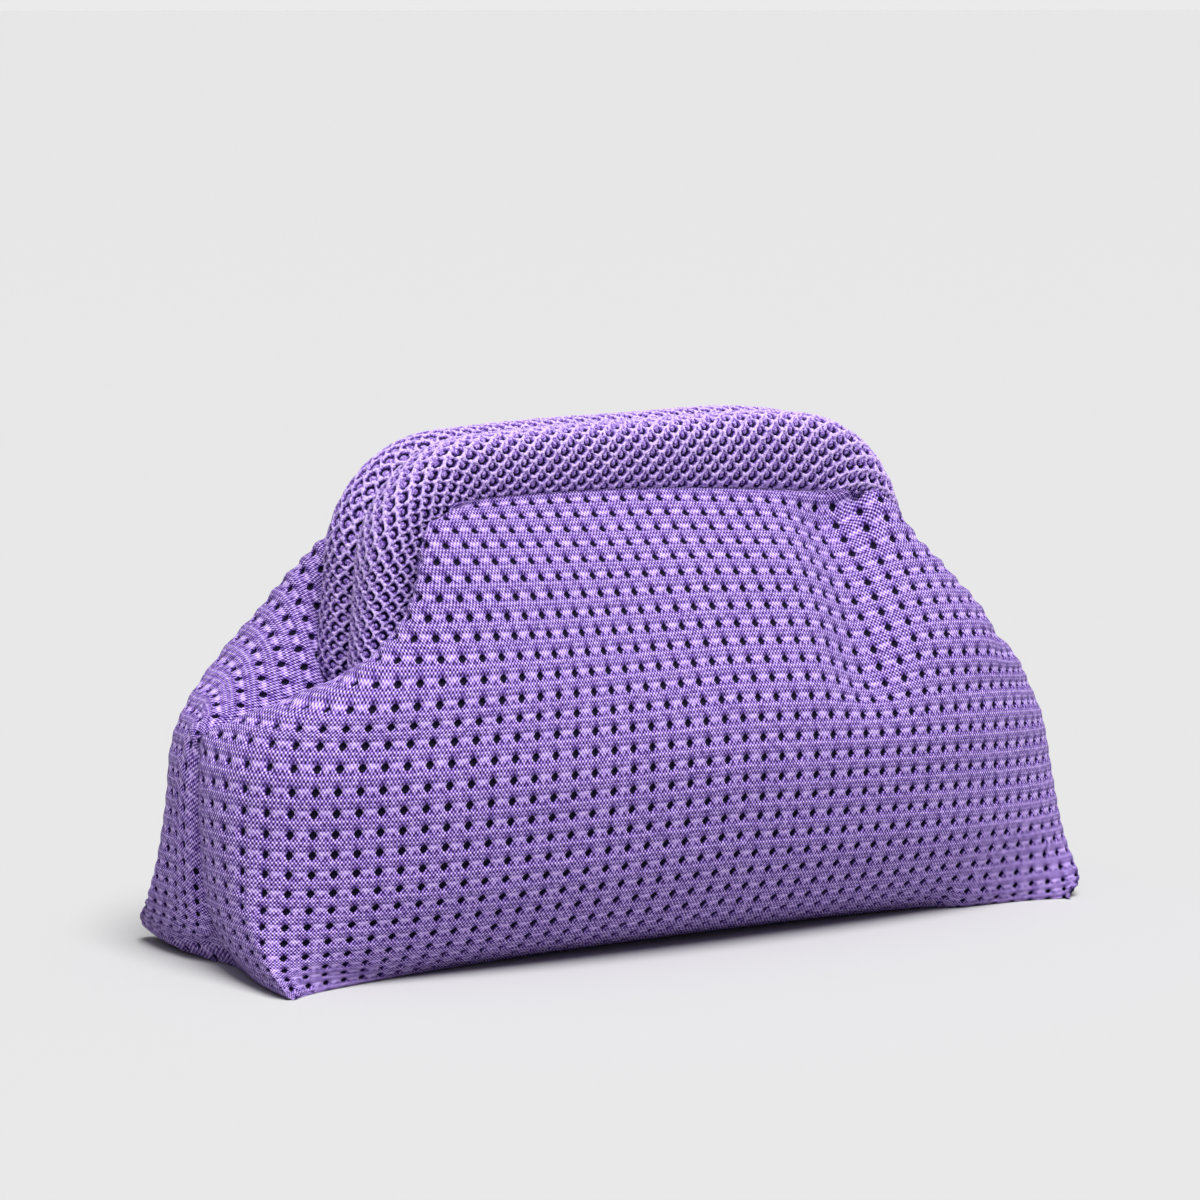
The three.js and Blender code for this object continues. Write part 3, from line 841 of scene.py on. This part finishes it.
class Shader:
    """A material's node tree, with short ways to add nodes and to join them."""

    def __init__(self, name):
        self.material = bpy.data.materials.new(name)
        self.material.use_nodes = True
        self.tree = self.material.node_tree
        self.principled = self.tree.nodes["Principled BSDF"]

    def put(self, socket, value):
        if isinstance(value, bpy.types.NodeSocket):
            self.tree.links.new(value, socket)
        else:
            socket.default_value = value

    def math(self, operation, *values):
        node = self.tree.nodes.new("ShaderNodeMath")
        node.operation = operation
        for socket, value in zip(node.inputs, values):
            self.put(socket, value)
        return node.outputs[0]

    def cloth(self):
        """The two coordinates of the cloth map."""
        node = self.tree.nodes.new("ShaderNodeUVMap")
        node.uv_map = "cloth"
        split = self.tree.nodes.new("ShaderNodeSeparateXYZ")
        self.put(split.inputs[0], node.outputs[0])
        return split.outputs[0], split.outputs[1]

    def attribute(self, name):
        node = self.tree.nodes.new("ShaderNodeAttribute")
        node.attribute_name = name
        return node.outputs["Fac"]

    def noise(self, scale, detail):
        coordinates = self.tree.nodes.new("ShaderNodeTexCoord")
        node = self.tree.nodes.new("ShaderNodeTexNoise")
        self.put(node.inputs["Vector"], coordinates.outputs["Object"])
        self.put(node.inputs["Scale"], scale)
        self.put(node.inputs["Detail"], detail)
        return node.outputs["Fac"]

    def hill(self, value, centre, half_width):
        """A smooth hill of height one round the centre."""
        away = self.math("DIVIDE", self.math("SUBTRACT", value, centre), half_width)
        return self.math("EXPONENT", self.math("MULTIPLY", self.math("MULTIPLY", away, away), -1.0))

    def spot(self, along, up, centre, half_size):
        """A smooth spot of height one round the centre, which like the half size is along and up."""
        across = self.hill(along, centre[0], half_size[0])
        return self.math("MULTIPLY", across, self.hill(up, centre[1], half_size[1]))

    def ramp(self, value, stops):
        """Colours by value, from pairs of place and colour."""
        node = self.tree.nodes.new("ShaderNodeValToRGB")
        self.put(node.inputs[0], value)
        elements = node.color_ramp.elements
        while len(elements) < len(stops):
            elements.new(0.5)
        for element, (place, colour) in zip(elements, stops):
            element.position = place
            element.color = colour
        return node.outputs[0]

    def bump(self, height, distance):
        node = self.tree.nodes.new("ShaderNodeBump")
        self.put(node.inputs["Height"], height)
        self.put(node.inputs["Distance"], distance)
        self.put(self.principled.inputs["Normal"], node.outputs[0])

    def finish(self, colour, roughness, sheen, metallic=0.0):
        self.put(self.principled.inputs["Base Color"], colour)
        self.put(self.principled.inputs["Roughness"], roughness)
        self.put(self.principled.inputs["Sheen Weight"], sheen)
        self.put(self.principled.inputs["Metallic"], metallic)
        self.put(self.principled.inputs["Specular IOR Level"], SHINE)
        return self.material


def centred(shader, value):
    """How far a value is from the nearest whole number."""
    shifted = shader.math("ADD", value, 0.5)
    return shader.math("SUBTRACT", shader.math("FRACT", shifted), 0.5)


def eyelet_knit():
    """Fine stocking stitch with sunk stitches over each eyelet, and a smooth rib and two dots beside it,
    painted lighter where raised and in shade where sunk.
    """
    shader = Shader("eyelet_knit")
    u, v = shader.cloth()
    across = shader.math("COSINE", shader.math("MULTIPLY", u, 2 * math.pi * STITCHES_ACROSS))
    over = shader.math("COSINE", shader.math("MULTIPLY", v, math.pi * STITCHES_UP))
    loops = shader.math("MULTIPLY", shader.math("ADD", across, COURSE_SHARE), over)
    tone = shader.noise(YARN_SCALE, YARN_DETAIL)
    yarn = shader.math("MULTIPLY_ADD", tone, YARN_SHARE, STITCH_TONE)
    stitch = shader.math("MULTIPLY_ADD", loops, -STITCH_SHARE, yarn)
    along = shader.math("MULTIPLY", centred(shader, u), PITCH_ALONG)
    up = shader.math("MULTIPLY", centred(shader, v), PITCH_UP)
    leaning = shader.math("MULTIPLY_ADD", up, SLIT_LEAN, along)
    slit = shader.spot(leaning, up, (0.0, SLIT_UP), (SLIT_HALF_WIDTH, SLIT_HALF_HEIGHT))
    clear = shader.math("SUBTRACT", 1.0, shader.hill(along, 0.0, RIB_CLEAR))
    rib = shader.math("MULTIPLY", clear, shader.hill(up, RIB_UP, RIB_HALF_HEIGHT))
    rib = shader.math("MULTIPLY", rib, RIB_SHARE)
    near_dot = shader.spot(along, up, (DOT_NEAR, DOT_UP), (DOT_SIZE, DOT_SIZE))
    far_dot = shader.spot(along, up, (DOT_FAR, DOT_UP), (DOT_SIZE, DOT_SIZE))
    dots = shader.math("MULTIPLY", shader.math("MAXIMUM", near_dot, far_dot), DOT_SHADE)
    shade = shader.math("MAXIMUM", shader.math("MULTIPLY", slit, SLIT_SHADE), dots)
    smooth = shader.math("MULTIPLY_ADD", rib, shader.math("SUBTRACT", 1.0, stitch), stitch)
    height = shader.math("MULTIPLY", smooth, shader.math("SUBTRACT", 1.0, shade))
    shader.bump(height, STITCH_HEIGHT * MM)
    # Painted light and shade: the colour follows the height, lighter on raised stitches and rib, and goes to
    # shade down the eyelets by depth
    lit = shader.math("MULTIPLY", height, shader.math("SUBTRACT", 1.0, shader.attribute("depth")))
    return shader.finish(shader.ramp(lit, KNIT_COLOURS), KNIT_ROUGHNESS, KNIT_SHEEN)


def honeycomb_knit():
    """Thick honeycomb knit, in painted shade down between its strands."""
    shader = Shader("honeycomb_knit")
    depth = shader.attribute("depth")
    yarn = shader.noise(NET_SCALE, YARN_DETAIL)
    shader.bump(yarn, NET_BUMP * MM)
    speckle = shader.math("MULTIPLY_ADD", yarn, NET_SHARE, NET_TONE - NET_SHARE / 2)
    colour = shader.ramp(shader.math("ADD", depth, speckle), NET_COLOURS)
    return shader.finish(colour, KNIT_ROUGHNESS, KNIT_SHEEN)


def frame_metal():
    """Dull painted steel."""
    shader = Shader("frame_metal")
    colour = shader.ramp(shader.noise(METAL_SCALE, METAL_DETAIL), METAL_COLOURS)
    return shader.finish(colour, METAL_ROUGHNESS, 0.0, metallic=METAL_SHARE)


def floor_paint():
    shader = Shader("floor_paint")
    return shader.finish((FLOOR_GREY, FLOOR_GREY, FLOOR_GREY, 1), FLOOR_ROUGHNESS, 0.0)


def mirrored(points, faces):
    """The same piece on the other side of the bag."""
    return points * np.array([1, -1, 1]), faces[:, ::-1]


def add_panels(material):
    """Two panels of eyelet knit. Only the front one leans."""
    for side, rows, folds, droop, end_droop in (
        ("front", FRONT_ROWS, FRONT_FOLDS, FRONT_DROOP, 0.0),
        ("back", BACK_ROWS, BACK_FOLDS, 0.0, BACK_END_DROOP),
    ):
        cloth = PanelCloth(rows, folds, side == "front", 1 if side == "front" else -1)
        points, faces, cloth_map, depth = EyeletPanel(cloth, droop, end_droop).build()
        if side == "back":
            points, faces = mirrored(points, faces)
        piece = make_piece(f"{side}_panel_knit", points, faces, cloth_map, depth, material)
        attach(piece, "root")
        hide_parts(f"panel_{side}")


def add_covers(material):
    """Two padded covers of honeycomb knit over the frame."""
    for side, leaning in (("front", True), ("back", False)):
        points, faces, cloth_map, depth = build_cover(leaning)
        if side == "back":
            points, faces = mirrored(points, faces)
        piece = make_piece(f"{side}_cover_knit", points, faces, cloth_map, depth, material)
        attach(piece, "root")
        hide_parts(f"frame_cover_{side}")


def paint_frame(material):
    for node in bpy.context.scene.objects:
        if node.name == "hinge_frame":
            node.data.materials.clear()
            node.data.materials.append(material)


def add_floor(material):
    mesh = bpy.data.meshes.new("floor")
    corners = [(-FLOOR_REACH, -FLOOR_REACH, 0), (FLOOR_REACH, -FLOOR_REACH, 0),
               (FLOOR_REACH, FLOOR_REACH, 0), (-FLOOR_REACH, FLOOR_REACH, 0)]
    mesh.from_pydata(corners, [], [(0, 1, 2, 3)])
    mesh.materials.append(material)
    floor = bpy.data.objects.new("floor", mesh)
    bpy.context.scene.collection.objects.link(floor)


def add_light():
    """A wide soft key from above the front, and a room that is pale along the floor line and overhead."""
    lamp = bpy.data.lights.new("key", "SUN")
    lamp.energy = KEY_STRENGTH
    lamp.angle = math.radians(KEY_SPREAD)
    key = bpy.data.objects.new("key", lamp)
    key.rotation_euler = Vector(KEY_FROM).to_track_quat("Z", "Y").to_euler()
    bpy.context.scene.collection.objects.link(key)
    world = bpy.data.worlds.new("room")
    bpy.context.scene.world = world
    world.use_nodes = True
    nodes = world.node_tree.nodes
    links = world.node_tree.links
    place = nodes.new("ShaderNodeTexCoord")
    split = nodes.new("ShaderNodeSeparateXYZ")
    ramp = nodes.new("ShaderNodeValToRGB")
    links.new(place.outputs["Generated"], split.inputs[0])
    links.new(split.outputs["Z"], ramp.inputs[0])
    links.new(ramp.outputs[0], nodes["Background"].inputs["Color"])
    while len(ramp.color_ramp.elements) < len(ROOM_GREYS):
        ramp.color_ramp.elements.new(0.5)
    for element, (height, grey) in zip(ramp.color_ramp.elements, ROOM_GREYS):
        element.position = height
        element.color = (grey, grey, grey, 1)


def add_camera():
    azimuth = math.radians(VIEW_AZIMUTH)
    elevation = math.radians(VIEW_ELEVATION)
    level = math.cos(elevation)
    look = Vector((math.sin(azimuth) * level, math.cos(azimuth) * level, -math.sin(elevation)))
    lens = bpy.data.cameras.new("camera")
    lens.sensor_width = SENSOR_WIDTH
    lens.lens = VIEW_LENS
    lens.clip_end = VIEW_END
    camera = bpy.data.objects.new("camera", lens)
    camera.location = (Vector(VIEW_AIM) - look * VIEW_DISTANCE) * MM
    camera.rotation_euler = look.to_track_quat("-Z", "Y").to_euler()
    bpy.context.scene.collection.objects.link(camera)
    bpy.context.scene.camera = camera


add_covers(honeycomb_knit())
add_panels(eyelet_knit())
paint_frame(frame_metal())
add_floor(floor_paint())
add_light()
add_camera()
bpy.context.scene.view_settings.view_transform = "Standard"
